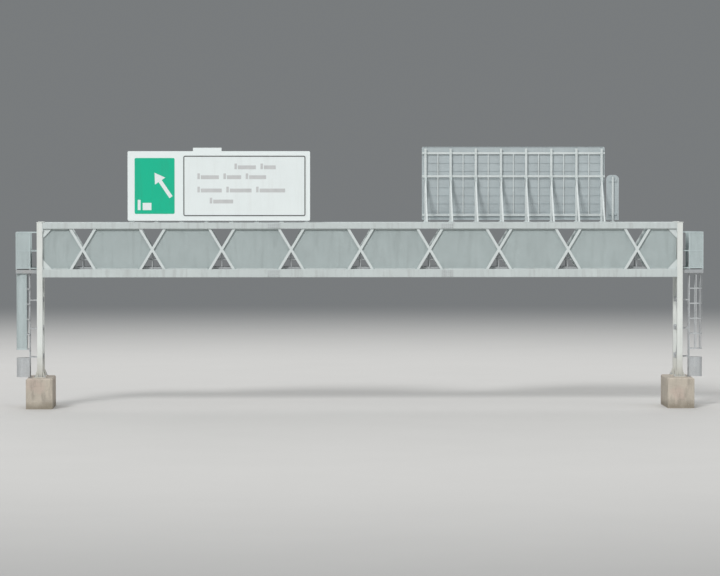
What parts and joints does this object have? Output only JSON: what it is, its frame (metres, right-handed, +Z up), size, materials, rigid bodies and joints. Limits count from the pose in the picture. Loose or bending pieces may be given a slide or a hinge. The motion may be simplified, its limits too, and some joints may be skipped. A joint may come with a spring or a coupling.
{
  "type": "overhead sign gantry",
  "caption": "Portal sign gantry: paired legs on plinths, a box boom with an inner walkway, end ladders and two signs above it.",
  "frame": {"origin": "on the ground at midspan, centred between the front and the rear truss", "axes": "+X across the road to the viewer's right, +Y away from the viewer, +Z up"},
  "size_m": [36.34, 3.6, 13.79],
  "materials": {
    "concrete": "matte, weathered",
    "leg_paint": "satin",
    "boom_paint": "satin",
    "galvanised": "dull spangled",
    "infill_sheet": "perforated, satin",
    "grating": "open bar grating",
    "aluminium": "mill finish",
    "white_sheeting": "retroreflective film",
    "green_sheeting": "retroreflective film"
  },
  "bodies": {
    "root": {"left_plinth": "concrete", "right_plinth": "concrete", "left_front_leg": "leg_paint", "left_rear_leg": "leg_paint", "right_front_leg": "leg_paint", "right_rear_leg": "leg_paint", "left_leg_ties": "galvanised", "right_leg_ties": "galvanised", "front_truss": "boom_paint", "rear_truss": "boom_paint", "floor_beams": "galvanised", "roof_bracing": "galvanised", "walkway_deck": "grating", "front_infill": "infill_sheet", "rear_infill": "infill_sheet", "front_guardrail": "galvanised", "rear_guardrail": "galvanised", "left_landing": "grating", "right_landing": "grating", "left_enclosure": "infill_sheet", "right_enclosure": "infill_sheet", "left_ladder": "galvanised", "right_ladder": "galvanised", "left_ladder_cage": "galvanised", "right_ladder_cage": "galvanised", "left_ladder_guard": "galvanised", "right_ladder_guard": "galvanised", "left_ladder_screen": "infill_sheet", "left_sign_posts": "aluminium", "left_sign_frame": "aluminium", "left_sign_face": "aluminium", "left_green_panel": "green_sheeting", "left_white_panel": "white_sheeting", "right_sign_posts": "aluminium", "right_sign_frame": "aluminium", "right_sign_face": "aluminium", "right_green_panel": "green_sheeting", "right_white_panel": "white_sheeting", "side_panel_post": "aluminium", "side_panel_face": "aluminium"}
  },
  "joints": []
}
